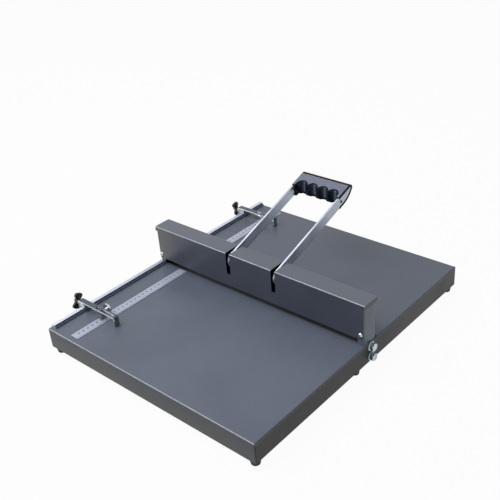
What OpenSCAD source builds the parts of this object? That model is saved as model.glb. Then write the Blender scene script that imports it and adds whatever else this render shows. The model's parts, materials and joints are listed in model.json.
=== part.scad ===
// Desktop paper creasing machine, in millimetres.
// X runs along the beam, +Y is the feed direction (the user sits on the -Y side), +Z is up.
// The origin is on the desk, under the middle of the machine.

/* [Base] */
// Width of the base pan, along the beam
base_w = 480; // [440:1:560]
// Length of the base pan, along the paper feed
base_l = 575; // [520:1:680]
// Height of the base pan without its feet
base_h = 38; // [36:1:50]
// Sheet thickness of the base pan
base_t = 1.5; // [1.2:0.1:1.8]
// Outer radius of the pan's folds
base_fold_r = 2.2; // [2:0.1:3]
// Width of the flange that returns inwards under the pan
return_w = 26; // [24:1:34]
// Distance of the crease line behind the middle of the base
beam_y = 4.5; // [-40:0.5:40]

/* [Feet] */
// Diameter of a rubber foot
foot_d = 19; // [18:1:22]
// Height of a rubber foot
foot_h = 13; // [7:0.5:15]
// Distance from the pan's sides to the middle of a corner foot
foot_inset = 11.5; // [11:0.5:17]
// Distance of the middle feet in front of the crease line
foot_lead = 30; // [28:1:60]

/* [Beam cover] */
// Depth of the beam cover, front to back
cover_d = 37; // [36:0.5:44]
// Height of the cover's top above the table
cover_rise = 79.5; // [78:0.5:90]
// Height of the paper gap under the cover
throat_h = 12.5; // [9:0.5:13.5]
// Sheet thickness of the cover
cover_t = 1.5; // [1.2:0.1:1.8]
// Outer radius of the cover's folds
cover_fold_r = 2.2; // [2:0.1:3]
// Height of the lips turned down over the end brackets
lip_h = 9; // [6:0.5:12]
// Width of the two slots that the handle's arms swing through
slot_w = 9; // [7:0.5:12]
// How far each slot runs down the front of the cover
front_slot_drop = 44; // [42:1:50]

/* [Brackets] */
// Sheet thickness of the end brackets
bracket_t = 2.5; // [2:0.1:3]

/* [Handle] */
// Height of the pivot shaft above the table
pivot_rise = 60; // [59:0.5:61]
// Angle of the handle above level, at rest, leaning to the rear
handle_lean = 18.5; // [14:0.5:24]
// Angle that the handle swings from rest to the end of a crease
handle_swing = 160; // [150:1:162]
// Distance between the middles of the two arms
arm_pitch = 105; // [95:1:130]
// Thickness of an arm
arm_t = 3.5; // [3:0.5:6]
// Width of an arm
arm_w = 20; // [18:0.5:20]
// Distance from the pivot to the end of the grip
handle_reach = 234; // [200:1:260]
// Radius of the round arm end on the pivot shaft
hub_r = 16.4; // [15:0.1:16.4]
// Diameter of the pivot shaft
shaft_d = 12; // [10:0.5:12]
// Thickness of the shell wrapped round the grip
shell_t = 2.4; // [2:0.1:3]
// Number of finger grooves in the grip
groove_count = 4; // [3:1:4]

/* [Press] */
// Gap between the blade and the anvil at rest
blade_gap = 6; // [5:0.1:6]
// Depth that the blade enters the groove at the end of the stroke
blade_entry = 0.4; // [0.2:0.1:0.8]
// Thickness of the crease blade
blade_t = 2; // [1.5:0.1:2.5]
// Height of the press bar
bar_h = 22; // [20:0.5:23]
// Height of the press bar's underside above the table, at rest
bar_rise = 14; // [13.5:0.1:15]
// Distance from the middle of the beam to each cam
cam_x = 165; // [120:1:170]
// Radius of the cams at rest
cam_r = 9.6; // [9:0.1:9.8]
// Width of a cam
cam_w = 14; // [10:0.5:16]

/* [Side guide] */
// Width of the whole guide rail
rail_w = 14.5; // [13:0.5:16]
// Width of the rail's raised rib
rail_rib_w = 8; // [7:0.5:9]
// Distance from the rail's outer side to the rib
rail_rib_inset = 4; // [3:0.5:4.5]
// Height of the raised rib
rail_rib_h = 6.5; // [5:0.5:7]
// Height of the rail's ledges beside the rib
rail_ledge_h = 3; // [2:0.5:4]
// Distance from the front of the base to the rail's front end
rail_setback = 8; // [4:1:20]
// Width of the rulers
ruler_w = 19; // [15:1:22]
// Thickness of the rulers
ruler_t = 1; // [0.8:0.1:1]
// Distance from the base's left side to the rulers
ruler_x = 52.5; // [50:0.5:56]
// Distance from the base's front and rear to the rulers' outer ends
ruler_inset = 10.5; // [6:0.5:20]

/* [Stops] */
// Length of a stop from the rail's outer side to its inner leg
stop_l = 97.5; // [92:0.5:120]
// Width of a stop's strip
stop_w = 10.5; // [9.5:0.5:14]
// Thickness of a stop's strip
stop_t = 3; // [2.5:0.1:3]
// Height of a stop's top above the table
stop_rise = 18.5; // [18:0.5:22]
// Distance of the front stop in front of the crease line
front_stop_back = 214; // [120:1:240]
// Distance of the rear stop behind the crease line
rear_stop_back = 221; // [120:1:240]
// Distance from the rail's outer side to the adjusting screws
adjust_x = 54; // [48:0.5:58]
// How much further in the rear stop's adjusting screw is set
rear_adjust_shift = 7; // [0:1:8]
// Diameter of the round paper face of an adjusting screw
adjust_d = 19; // [16:0.5:20]
// Gap behind the paper face of the front adjusting screw
front_adjust_gap = 8.5; // [6:0.5:10]
// Gap behind the paper face of the rear adjusting screw
rear_adjust_gap = 2.5; // [2:0.5:8]
// Tilt of the front wing screw
front_wing_tilt = -24; // [-90:1:90]
// Tilt of the rear wing screw
rear_wing_tilt = -12; // [-90:1:90]

/* [Hidden] */
$fn = 48;

// Overrun of every cut past the face it leaves
over = 1;
// Gap between faces that slide past each other
slide_gap = 0.3;
// Radial gap of a pin, bolt or shaft in its hole
fit_gap = 0.05;

// Levels
table_z = foot_h + base_h;
pivot_z = table_z + pivot_rise;
cover_top = table_z + cover_rise;
cover_bottom = table_z + throat_h;
cover_h = cover_top - cover_bottom;

// End brackets, set inside the pan's side skirts and under the cover
paper_spare = 0.5;
bracket_out = base_w / 2 - base_t;
bracket_in = bracket_out - bracket_t;
bracket_flange = rail_w - base_t - paper_spare;
bracket_seat = 0.2;
bracket_d = cover_d - 2 * cover_t - 2 * bracket_seat;
bracket_top = cover_top - cover_t - bracket_seat;
bracket_inner_r = 0.7;
bracket_fold_r = bracket_t + bracket_inner_r;
bracket_foot_w = bracket_d - 2 * bracket_fold_r;
bracket_foot_z = foot_h + base_t + slide_gap;
bracket_slot_spare = 3;
bracket_boss_r = 12;
bracket_boss_l = 11;

// Cover
cover_l = 2 * (bracket_out + slide_gap + cover_t);
cover_corner_r = 3;
cover_notch = 2.5;
cover_in = cover_d / 2 - cover_t;

// Fasteners, as shank diameter, head diameter and head height
cover_screw = [4, 8, 2.6];
cover_screw_x = bracket_out - bracket_flange / 2;
cover_screw_up = 8.1;
cover_screw_l = cover_t + bracket_seat + bracket_t;
bolt_d = 8;
bolt_flats = 13;
bolt_head_h = 5.3;
bolt_edge = 0.6;
bolt_depth = 16;
bolt_step = 20;
bolt_top_drop = 8;
washer_d = 17;
washer_t = 1.6;
lock_d = 13.6;
lock_t = 2;
lock_split = 1.2;
lock_slant = 15;
foot_screw = [4, 7.6, 2.4];
foot_recess_spare = 0.6;
foot_recess_h = 3.4;
foot_taper = 2;
foot_round = 1.6;
nut_flats = 7;
nut_h = 3.2;
socket_share = 0.5;
drive_share = 0.55;

// Anvil under the blade
anvil_d = 24;
anvil_seat = 0.5;
anvil_edge = 0.6;
groove_w = 1.6;
groove_d = 1.4;
pan_gap = 0.3;

// Press bar, guided at its ends between the flanges of the brackets
crease_l = base_w - 2 * rail_w - 2 * paper_spare;
bar_bottom = table_z + bar_rise;
bar_top = bar_bottom + bar_h;
bar_l = 2 * (bracket_in - slide_gap);
bar_d = bracket_d - 2 * bracket_t - 2 * slide_gap;

// Return springs, in the bar's ends beyond the blade
spring_x = (crease_l + bar_l) / 4;
spring_wire_d = 1.1;
spring_coil_r = 3.5;
spring_curls = 7;
spring_pocket = 10;
spring_pocket_r = 4.5;
spring_seat = 2;
ring_steps = 8;
ring_sides = 6;

// Blade and cam pads
blade_slot_h = 14;
blade_low = table_z + blade_gap;
blade_high = bar_bottom + blade_slot_h - slide_gap;
blade_tip_w = 0.8;
blade_taper_h = 3;
blade_screw_d = 5;
blade_screw_l = 9.5;
blade_screw_count = 5;
blade_screw_up = 8;
blade_screw_span_share = 0.8;
pad_l = 34;
pad_top = pivot_z - cam_r - slide_gap;
pad_screw = [5, 9, 2.6];
pad_screw_x = 12;
pad_screw_floor = 1;
pad_screw_sink = 0.3;
pad_screw_l = bar_h - blade_slot_h - pad_screw_floor - pad_screw_sink;
stroke = blade_gap + blade_entry;

// Cam outline: the lift grows evenly with the handle's angle
cam_rate = stroke / handle_swing;
cam_slope = cam_rate * 180 / PI;
cam_step = 4;
cam_boss_drop = 0.5;
cam_boss_r = cam_r - cam_boss_drop;
cam_boss_l = 10;

// Shaft, pins and bushes
shaft_end_gap = 0.5;
shaft_edge = 0.8;
pin_d = 4;
bush_t = 2.5;
bush_flange_w = 2;
bush_flange_t = 1.5;

// Arms and grip, in the handle's own directions: u along the arms, v square to them
arm_top = 15.8;
arm_low = arm_top - arm_w;
arm_boss_r = 11;
arm_boss_l = 9;
arm_x = arm_pitch / 2;
arm_out = arm_x + arm_t / 2;
arm_in = arm_x - arm_t / 2;
grip_l = 48;
nose_r = 6;
belly_r = 48;
shell_drop = 1;
grip_top = arm_top + shell_t - shell_drop;
grip_sag = 1.6;
grip_low = arm_low - grip_sag;
grip_lean = 5.5;
grip_start = handle_reach - grip_l;
nose_u = handle_reach - nose_r;
nose_v = grip_top - nose_r;
belly_v = grip_low + belly_r;
belly_u = nose_u - sqrt(pow(belly_r - nose_r, 2) - pow(belly_v - nose_v, 2));
belly_a = atan2(nose_v - belly_v, nose_u - belly_u);
leaf_steps = 8;
groove_r = 11.5;
groove_margin = 3;
groove_pitch = 2 * (arm_in - groove_margin) / groove_count;
groove_depth = 7.4;
groove_lean = 24.5;
groove_back = 27;
ridge_lean = 13;
cheek_w = 4.5;
pad_t = 0.8;
pad_rim = 1.3;
pad_rear = 2.6;
pad_cut = 2;
grip_screw = [3, 5.6, 1.2];
grip_screw_u = 9;
grip_screw_v = 5;
grip_screw_l = 9;

// Rail, rulers and their screws
rail_groove = 0.6;
rail_groove_pitch = 2.4;
rail_screw = [4, 7.6, 2.2];
rail_screw_l = 5.5;
rail_rib_in = rail_rib_inset + rail_rib_w;
rail_screw_x = rail_rib_inset + rail_rib_w / 2;
rail_end_gap = 1;
rail_front = -base_l / 2 + rail_setback;
rail_mid_front = beam_y - bracket_d / 2 - rail_end_gap;
rail_mid_rear = beam_y + bracket_d / 2 + rail_end_gap;
rail_rear = base_l / 2 - base_fold_r;
ruler_beam_gap = 5;
ruler_corner_r = 1.5;

// Stops
stop_fold_r = 3.6;
stop_left = base_w / 2 + slide_gap + stop_t;
stop_right = base_w / 2 - stop_l;
stop_top = table_z + stop_rise;
stop_under = stop_top - stop_t;
stop_foot_z = table_z + slide_gap;
stop_flange_low = 1.5;
stop_slot_w = 5.6;
stop_slot_shift = 0.8;
stop_slot_start = 45;
stop_slot_end = 5.5;
jaw_lip = 2.2;
jaw_low = rail_ledge_h + slide_gap;
jaw_edge = 0.6;
block_w = 15;
block_key_l = 9;
block_key_drop = 0.4;
adjust_shank_d = 6;
adjust_z = table_z + ruler_t + slide_gap + adjust_d / 2;
adjust_face_t = 4;
adjust_edge = 0.8;
block_low = adjust_z - adjust_shank_d;
jaw_floor = 1.5;
wing_shank_d = 5;
wing_z = table_z + rail_rib_h + slide_gap + jaw_floor + wing_shank_d / 2;
wing_hub_d = 10.5;
wing_hub_l = 14;
wing_out = 8.6;
wing_t = 5;
wing_span = 30;
wing_tip_r = 4.6;
wing_tip_pitch = 6.6;
wing_waist_r = 3.2;
wing_stand = 0.3;
wing_shank_l = 12;

// Middle of the machine's outline on the desk
left_reach = stop_left + wing_stand + wing_hub_l;
right_reach = base_w / 2 + washer_t + lock_t + bolt_head_h;
origin_shift = (left_reach - right_reach) / 2;

front_stop_y = beam_y - front_stop_back;
rear_stop_y = beam_y + rear_stop_back;

// Shared places and directions
module placed() {
    translate([origin_shift, 0, 0]) children();
}

module along_x(length) {
    translate([-length / 2, 0, 0]) rotate([90, 0, 90]) linear_extrude(length) children();
}

module along_y(length) {
    translate([0, length / 2, 0]) rotate([90, 0, 0]) linear_extrude(length) children();
}

module both_ends() {
    for (side = [0, 1]) mirror([side, 0, 0]) children();
}

module in_handle() {
    translate([0, beam_y, pivot_z]) rotate([handle_lean, 0, 0]) children();
}

// Outline of a folded channel's outside: flat foot, round shoulders, standing on Y = 0
module shoulders(w, h, r) {
    translate([-w / 2, 0]) square([w, h - r]);
    translate([-w / 2 + r, 0]) square([w - 2 * r, h]);
    for (side = [-1, 1]) translate([side * (w / 2 - r), h - r]) circle(r);
}

module channel(w, h, t, r) {
    difference() {
        shoulders(w, h, r);
        translate([0, -over]) shoulders(w - 2 * t, h - t + over, r - t);
    }
}

module round_square(w, l, r) {
    square([w - 2 * r, l], center = true);
    square([w, l - 2 * r], center = true);
    for (x = [-1, 1], y = [-1, 1]) translate([x * (w / 2 - r), y * (l / 2 - r)]) circle(r);
}

// A block whose top edges are folded and whose corners are rounded
module folded_block(w, l, h, r) {
    intersection() {
        along_y(l) shoulders(w, h, r);
        along_x(w) shoulders(l, h, r);
        linear_extrude(h) round_square(w, l, r);
    }
}

// A round-head screw on +Z, its head above Z = 0 and its shank below
module round_screw(sizes, length) {
    cylinder(d = sizes[0], h = 2 * length, center = true);
    dome_r = (pow(sizes[1] / 2, 2) + pow(sizes[2], 2)) / (2 * sizes[2]);
    difference() {
        intersection() {
            translate([0, 0, sizes[2] - dome_r]) sphere(dome_r);
            cylinder(d = sizes[1], h = sizes[2]);
        }
        translate([0, 0, sizes[2] * drive_share]) cross_slot(sizes);
    }
}

module cross_slot(sizes) {
    for (turn = [0, 90]) rotate([0, 0, turn])
        translate([-sizes[0] * drive_share, -sizes[0] / 12, 0])
            cube([sizes[0] * 2 * drive_share, sizes[0] / 6, sizes[2]]);
}

module trimmed_screw(sizes, length) {
    difference() {
        round_screw(sizes, length);
        translate([0, 0, sizes[2]]) cylinder(d = sizes[1], h = 2 * length);
    }
}

// Base
function foot_places() = [for (x = [-1, 1], y = [
    -base_l / 2 + foot_inset, beam_y - foot_lead, base_l / 2 - foot_inset])
    [x * (base_w / 2 - foot_inset), y]];

module at_feet() {
    for (place = foot_places()) translate([place[0], place[1], 0]) children();
}

module at_bolts() {
    both_ends() for (drop = [0, 1])
        translate([base_w / 2, beam_y, table_z - bolt_top_drop - drop * bolt_step])
            rotate([0, 90, 0]) children();
}

module base_pan() {
    color("dimgray") placed() difference() {
        translate([0, 0, foot_h]) folded_block(base_w, base_l, base_h, base_fold_r);
        translate([0, 0, foot_h + base_t])
            folded_block(base_w - 2 * base_t, base_l - 2 * base_t, base_h - 2 * base_t,
                base_fold_r - base_t);
        linear_extrude(foot_h + 2 * base_t)
            round_square(base_w - 2 * return_w, base_l - 2 * return_w, base_fold_r);
        anvil_slot();
        at_feet() cylinder(d = foot_screw[0] + 2 * fit_gap, h = foot_h + 2 * base_t);
        at_bolts() cylinder(d = bolt_d + 2 * fit_gap, h = 2 * bolt_depth, center = true);
        at_rail_screws() cylinder(d = rail_screw[0] + 2 * fit_gap, h = 2 * rail_screw_l, center = true);
    }
}

// The hole through the pan's top for the anvil and for the two brackets
module anvil_slot() {
    slot_h = base_t + base_fold_r + over;
    slot_front = bracket_foot_w / 2 + pan_gap;
    translate([0, beam_y, table_z + over - slot_h]) {
        translate([-bracket_out, -anvil_d / 2 - pan_gap, 0])
            cube([2 * bracket_out, anvil_d + 2 * pan_gap, slot_h]);
        both_ends() translate([bracket_in - pan_gap, -slot_front, 0])
            cube([bracket_t + pan_gap, slot_front + bracket_d / 2 + bracket_slot_spare, slot_h]);
    }
}

module rubber_feet() {
    color("black") placed() at_feet() rotate_extrude() difference() {
        foot_half_section();
        translate([0, -over])
            square([foot_screw[1] / 2 + foot_recess_spare, foot_recess_h + over]);
        translate([0, -over]) square([foot_screw[0] / 2 + fit_gap, foot_h + 2 * over]);
    }
}

module foot_half_section() {
    low_r = foot_d / 2 - foot_taper;
    polygon([[0, 0], [low_r - foot_round, 0], [low_r - foot_round, foot_round],
        [low_r, foot_round], [foot_d / 2, foot_h - foot_round],
        [foot_d / 2 - foot_round, foot_h], [0, foot_h]]);
    translate([low_r - foot_round, foot_round]) circle(foot_round);
}

module foot_screws() {
    shank = foot_h + base_t + nut_h - foot_recess_h + base_t / 2;
    color("silver") placed() at_feet() translate([0, 0, foot_recess_h])
        rotate([180, 0, 0]) trimmed_screw(foot_screw, shank);
}

module foot_nuts() {
    color("silver") placed() at_feet() translate([0, 0, foot_h + base_t])
        hex_nut(nut_flats, nut_h, foot_screw[0]);
}

module hex_nut(flats, h, bore) {
    difference() {
        cylinder(d = flats / cos(30), h = h, $fn = 6);
        translate([0, 0, -over]) cylinder(d = bore + 2 * fit_gap, h = h + 2 * over);
    }
}

// End brackets: a folded channel that stands on the table, its plate going down inside the pan
module end_bracket() {
    difference() {
        union() {
            translate([bracket_out - bracket_flange, beam_y, table_z])
                linear_extrude(bracket_top - table_z) rotate([0, 0, -90])
                    channel(bracket_d, bracket_flange, bracket_t, bracket_fold_r);
            translate([bracket_in, beam_y - bracket_foot_w / 2, bracket_foot_z])
                cube([bracket_t, bracket_foot_w, table_z + bracket_t - bracket_foot_z]);
            translate([bracket_in - bracket_boss_l, beam_y, pivot_z]) rotate([0, 90, 0])
                cylinder(r = bracket_boss_r, h = bracket_boss_l);
        }
        translate([bracket_in - bracket_boss_l - over, beam_y, pivot_z]) rotate([0, 90, 0])
            cylinder(d = shaft_d + 2 * bush_t, h = bracket_boss_l + over);
        at_bolts() cylinder(d = bolt_d + 2 * fit_gap, h = 2 * bolt_depth, center = true);
        at_cover_screws() cylinder(d = cover_screw[0] + 2 * fit_gap, h = 2 * cover_screw_l, center = true);
    }
}

module left_bracket() {
    color("slategray") placed() mirror([1, 0, 0]) end_bracket();
}

module right_bracket() {
    color("slategray") placed() end_bracket();
}

module bracket_bolts() {
    color("silver") placed() at_bolts() {
        translate([0, 0, washer_t + lock_t]) hex_head();
        translate([0, 0, -bolt_depth]) cylinder(d = bolt_d, h = bolt_depth + washer_t + lock_t);
    }
}

module hex_head() {
    intersection() {
        cylinder(d = bolt_flats / cos(30), h = bolt_head_h, $fn = 6);
        cylinder(d1 = bolt_flats / cos(30) + 2 * bolt_head_h, d2 = bolt_flats - bolt_edge,
            h = bolt_head_h);
    }
}

module bracket_washers() {
    color("silver") placed() at_bolts() ring(washer_d, bolt_d + 2 * fit_gap, washer_t);
}

module lock_washers() {
    color("silver") placed() at_bolts() translate([0, 0, washer_t]) difference() {
        ring(lock_d, bolt_d + 2 * fit_gap, lock_t);
        rotate([lock_slant, 0, 0]) translate([0, -lock_split / 2, -lock_t])
            cube([lock_d, lock_split, 3 * lock_t]);
    }
}

module ring(outer, inner, h) {
    difference() {
        cylinder(d = outer, h = h);
        translate([0, 0, -over]) cylinder(d = inner, h = h + 2 * over);
    }
}

// Beam cover
module at_cover_screws() {
    for (x = [-1, 1], face = [-1, 1])
        translate([x * cover_screw_x, beam_y + face * cover_d / 2, cover_bottom + cover_screw_up])
            rotate([-face * 90, 0, 0]) children();
}

module beam_cover() {
    color("dimgray") placed() {
        difference() {
            translate([0, beam_y, cover_bottom]) intersection() {
                along_x(cover_l) channel(cover_d, cover_h, cover_t, cover_fold_r);
                translate([0, 0, cover_h]) mirror([0, 0, 1])
                    along_y(cover_d) shoulders(cover_l, cover_h, cover_corner_r);
            }
            for (side = [-1, 1]) translate([side * arm_x, beam_y, 0]) arm_slot();
            both_ends() translate([bracket_out - cover_notch, beam_y - cover_d, cover_bottom - over])
                cube([cover_d, 2 * cover_d, cover_h - lip_h + over]);
            at_cover_screws() cylinder(d = cover_screw[0] + 2 * fit_gap, h = 2 * cover_t, center = true);
        }
        both_ends() translate([cover_l / 2 - cover_t, beam_y - cover_in, cover_top - lip_h])
            cube([cover_t, 2 * cover_in, lip_h - cover_t]);
    }
}

// The slot is open over the top, long in front and ends under the resting arm at the rear
module arm_slot() {
    rear_z = pivot_z + cover_in * tan(handle_lean) + arm_low / cos(handle_lean) - slide_gap;
    front_z = cover_top - front_slot_drop;
    translate([-slot_w / 2, -cover_d / 2 - over, front_z])
        cube([slot_w, cover_d / 2 + over, cover_top - front_z + over]);
    translate([-slot_w / 2, 0, rear_z])
        cube([slot_w, cover_d / 2 + over, cover_top - rear_z + over]);
}

module cover_screws() {
    color("silver") placed() at_cover_screws() trimmed_screw(cover_screw, cover_screw_l);
}

// Anvil and return springs
module anvil_bar() {
    anvil_z = foot_h + base_t + anvil_seat;
    color("silver") placed() difference() {
        translate([-bracket_in, beam_y - anvil_d / 2, anvil_z])
            cube([2 * bracket_in, anvil_d, table_z - anvil_z]);
        translate([0, beam_y, table_z]) along_x(2 * bracket_in + 2 * over) groove_section();
        at_bolts() translate([0, 0, -bolt_depth - over])
            cylinder(d = bolt_d + 2 * fit_gap, h = bolt_depth + 2 * over);
        at_springs() translate([0, 0, table_z - spring_seat])
            cylinder(r = spring_pocket_r, h = spring_seat + over);
    }
}

module groove_section() {
    polygon([[-groove_w / 2 - anvil_edge, over], [-groove_w / 2 - anvil_edge, 0],
        [-groove_w / 2, -anvil_edge], [-groove_w / 2, -groove_d], [groove_w / 2, -groove_d],
        [groove_w / 2, -anvil_edge], [groove_w / 2 + anvil_edge, 0],
        [groove_w / 2 + anvil_edge, over]]);
}

module at_springs() {
    for (side = [-1, 1]) translate([side * spring_x, beam_y, 0]) children();
}

spring_low = table_z - spring_seat + fit_gap + spring_wire_d / 2;
spring_high = bar_bottom + spring_pocket - fit_gap - spring_wire_d / 2;
spring_rings = spring_curls * ring_steps;
spring_pitch = (spring_high - spring_low) / spring_curls;

function spring_point(ring_no, side_no) = let (
    turn = ring_no * 360 / ring_steps,
    edge = side_no * 360 / ring_sides,
    out = spring_coil_r + cos(edge) * spring_wire_d / 2)
    [out * cos(turn), out * sin(turn),
        spring_low + spring_pitch * ring_no / ring_steps + sin(edge) * spring_wire_d / 2];

function spring_side(ring_no, side_no) = let (
    a = ring_no * ring_sides + side_no,
    b = ring_no * ring_sides + (side_no + 1) % ring_sides)
    [[a, b, a + ring_sides], [b, b + ring_sides, a + ring_sides]];

module return_spring() {
    points = [for (i = [0:spring_rings], k = [0:ring_sides - 1]) spring_point(i, k)];
    sides = [for (i = [0:spring_rings - 1], k = [0:ring_sides - 1], f = spring_side(i, k)) f];
    first = [for (k = [1:ring_sides - 2]) [0, k + 1, k]];
    last = [for (k = [1:ring_sides - 2]) [0, k, k + 1] + spring_rings * ring_sides * [1, 1, 1]];
    polyhedron(points, concat(sides, first, last));
}

module left_spring() {
    color("silver") placed() translate([-spring_x, beam_y, 0]) return_spring();
}

module right_spring() {
    color("silver") placed() translate([spring_x, beam_y, 0]) return_spring();
}

function turn_gap(ring_no) = min([for (k = [0:ring_sides - 1], m = [0:ring_sides - 1])
    norm(spring_point(ring_no, k) - spring_point(ring_no + ring_steps, m))]);
echo("least gap between the turns of a spring",
    min([for (i = [0:spring_rings - ring_steps]) turn_gap(i)]));

// Pivot shaft, bushes, pins and cams
module shaft_bushes() {
    color("peru") placed() both_ends() translate([bracket_in, beam_y, pivot_z])
        rotate([0, -90, 0]) difference() {
            union() {
                cylinder(d = shaft_d + 2 * bush_t, h = bracket_boss_l + bush_flange_t);
                translate([0, 0, bracket_boss_l])
                    cylinder(d = shaft_d + 2 * bush_t + 2 * bush_flange_w, h = bush_flange_t);
            }
            translate([0, 0, -over])
                cylinder(d = shaft_d + 2 * fit_gap, h = bracket_boss_l + bush_flange_t + 2 * over);
        }
}

module pivot_shaft() {
    shaft_l = 2 * (bracket_in - shaft_end_gap);
    color("silver") placed() difference() {
        in_handle() rotate([0, 90, 0]) {
            cylinder(d = shaft_d, h = shaft_l - 2 * shaft_edge, center = true);
            cylinder(d = shaft_d - 2 * shaft_edge, h = shaft_l, center = true);
        }
        at_pins() cylinder(d = pin_d + 2 * fit_gap, h = 2 * shaft_d, center = true);
    }
}

// Each pin passes through a boss and the shaft, square to the arms
module at_pins() {
    in_handle() for (side = [-1, 1]) {
        translate([side * (arm_out + arm_boss_l / 2), 0, 0]) children();
        translate([side * (cam_x - cam_w / 2 - cam_boss_l / 2), 0, 0]) children();
    }
}

module shaft_pins() {
    color("silver") placed() in_handle() for (side = [-1, 1]) {
        translate([side * (arm_out + arm_boss_l / 2), 0, 0])
            cylinder(d = pin_d, h = 2 * arm_boss_r - shaft_edge, center = true);
        translate([side * (cam_x - cam_w / 2 - cam_boss_l / 2), 0, 0])
            cylinder(d = pin_d, h = 2 * cam_boss_r - shaft_edge, center = true);
    }
}

// Distance of the pad from the shaft, as the handle turns, and its rate of change
cam_rest = 360 - handle_swing;
function cam_back(turn) = (turn - handle_swing) / cam_rest;
function cam_lift(turn) = turn <= handle_swing ? cam_rate * turn
    : let (s = cam_back(turn))
        stroke * (2 * s * s * s - 3 * s * s + 1)
        + cam_rate * cam_rest * ((s * s * s - 2 * s * s + s) + (s * s * s - s * s));
function cam_change(turn) = turn <= handle_swing ? cam_slope
    : let (s = cam_back(turn), deg_rate = 180 / PI / cam_rest)
        stroke * (6 * s * s - 6 * s) * deg_rate
        + cam_slope * ((3 * s * s - 4 * s + 1) + (3 * s * s - 2 * s));
function cam_point(turn) = let (reach = cam_r + cam_lift(turn), slope = cam_change(turn))
    [-reach * sin(turn) - slope * cos(turn), -reach * cos(turn) + slope * sin(turn)];

module cam() {
    difference() {
        translate([0, beam_y, pivot_z]) {
            translate([cam_x, 0, 0]) along_x(cam_w)
                polygon([for (turn = [0:cam_step:360 - cam_step]) cam_point(turn)]);
            translate([cam_x - cam_w / 2 - cam_boss_l, 0, 0]) rotate([0, 90, 0])
                cylinder(r = cam_boss_r, h = cam_boss_l + cam_w / 2);
        }
        translate([0, beam_y, pivot_z]) rotate([0, 90, 0])
            cylinder(d = shaft_d + 2 * fit_gap, h = base_w);
        at_pins() cylinder(d = pin_d + 2 * fit_gap, h = 2 * arm_boss_r + over, center = true);
    }
}

module left_cam() {
    color("gray") placed() mirror([1, 0, 0]) cam();
}

module right_cam() {
    color("gray") placed() cam();
}

// Handle: the leaf is the side outline of the grip, drawn inset by the shell's thickness.
// Its edge towards the pivot leans, so the grip's top starts later than its underside.
function lean_at(height) = grip_lean * (height - grip_low) / (grip_top - grip_low);
function leaf(inset, start) = concat(
    [for (v = [grip_low + inset, grip_top - inset]) [start + lean_at(v), v]],
    [for (k = [0:leaf_steps]) let (a = 90 - k * (90 - belly_a) / leaf_steps)
        [nose_u + (nose_r - inset) * cos(a), nose_v + (nose_r - inset) * sin(a)]],
    [for (k = [1:leaf_steps]) let (a = belly_a - k * (90 + belly_a) / leaf_steps)
        [belly_u + (belly_r - inset) * cos(a), belly_v + (belly_r - inset) * sin(a)]]);

module leaf_core(start) {
    translate([0, shell_drop]) polygon(leaf(shell_t, start));
}

module lever_arm() {
    in_handle() difference() {
        union() {
            translate([arm_x, 0, 0]) along_x(arm_t) {
                circle(hub_r);
                polygon([[0, arm_low], [grip_start + lean_at(arm_low), arm_low],
                    [grip_start + lean_at(arm_top), arm_top], [0, arm_top]]);
                leaf_core(grip_start - over);
            }
            translate([arm_out, 0, 0]) rotate([0, 90, 0]) cylinder(r = arm_boss_r, h = arm_boss_l);
        }
        translate([arm_in - over, 0, 0]) rotate([0, 90, 0])
            cylinder(d = shaft_d + 2 * fit_gap, h = arm_t + arm_boss_l + 2 * over);
        translate([arm_out + arm_boss_l / 2, 0, 0])
            cylinder(d = pin_d + 2 * fit_gap, h = 2 * arm_boss_r + over, center = true);
        translate([arm_out, grip_start + grip_screw_u, grip_screw_v]) rotate([0, 90, 0])
            cylinder(d = grip_screw[0] + 2 * fit_gap, h = 2 * grip_screw_l, center = true);
    }
}

module left_arm() {
    color("lightslategray") placed() mirror([1, 0, 0]) lever_arm();
}

module right_arm() {
    color("lightslategray") placed() lever_arm();
}

// Finger grooves: they lean towards the pivot as they go down, the ridges between them less,
// so the grooves get shallower
module finger_cut(spare) {
    groove_base(groove_back, groove_lean) for (n = [0:groove_count - 1])
        translate([(n - (groove_count - 1) / 2) * groove_pitch, -groove_r]) circle(groove_r + spare);
    groove_base(groove_back + groove_depth, ridge_lean)
        translate([-arm_in + cheek_w - spare, -grip_l])
            square([2 * (arm_in - cheek_w + spare), grip_l + spare]);
}

module groove_base(back, lean) {
    reach = 3 * groove_r;
    translate([0, handle_reach - back, arm_top]) rotate([-lean, 0, 0])
        translate([0, 0, -reach]) linear_extrude(2 * reach) children();
}

module grip_shell() {
    color("dimgray") placed() in_handle() difference() {
        along_x(2 * arm_out) difference() {
            polygon(leaf(0, grip_start));
            leaf_core(grip_start - over);
        }
        finger_cut(0);
    }
}

module grip_pad() {
    color("slategray") placed() in_handle() difference() {
        translate([-arm_out + pad_rim, grip_start + grip_lean + pad_rim, grip_top])
            cube([2 * arm_out - 2 * pad_rim, nose_u - pad_rear - grip_start - grip_lean - pad_rim, pad_t]);
        finger_cut(pad_rim);
    }
}

module finger_grip() {
    color("black") placed() in_handle() difference() {
        along_x(2 * (arm_in - fit_gap)) leaf_core(grip_start + pad_cut);
        finger_cut(0);
        grip_screw_holes();
    }
}

module grip_screw_holes() {
    both_ends() translate([arm_out, grip_start + grip_screw_u, grip_screw_v]) rotate([0, 90, 0])
        cylinder(d = grip_screw[0] + 2 * fit_gap, h = 2 * grip_screw_l + 2 * over, center = true);
}

module grip_screws() {
    color("silver") placed() in_handle() both_ends()
        translate([arm_out, grip_start + grip_screw_u, grip_screw_v]) rotate([0, 90, 0])
            trimmed_screw(grip_screw, grip_screw_l);
}

// Press bar, blade, pads and their screws
module at_blade_screws() {
    span = bar_l * blade_screw_span_share;
    for (n = [0:blade_screw_count - 1])
        translate([-span / 2 + n * span / (blade_screw_count - 1),
            beam_y + blade_t / 2 + fit_gap, bar_bottom + blade_screw_up])
            rotate([-90, 0, 0]) children();
}

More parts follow.
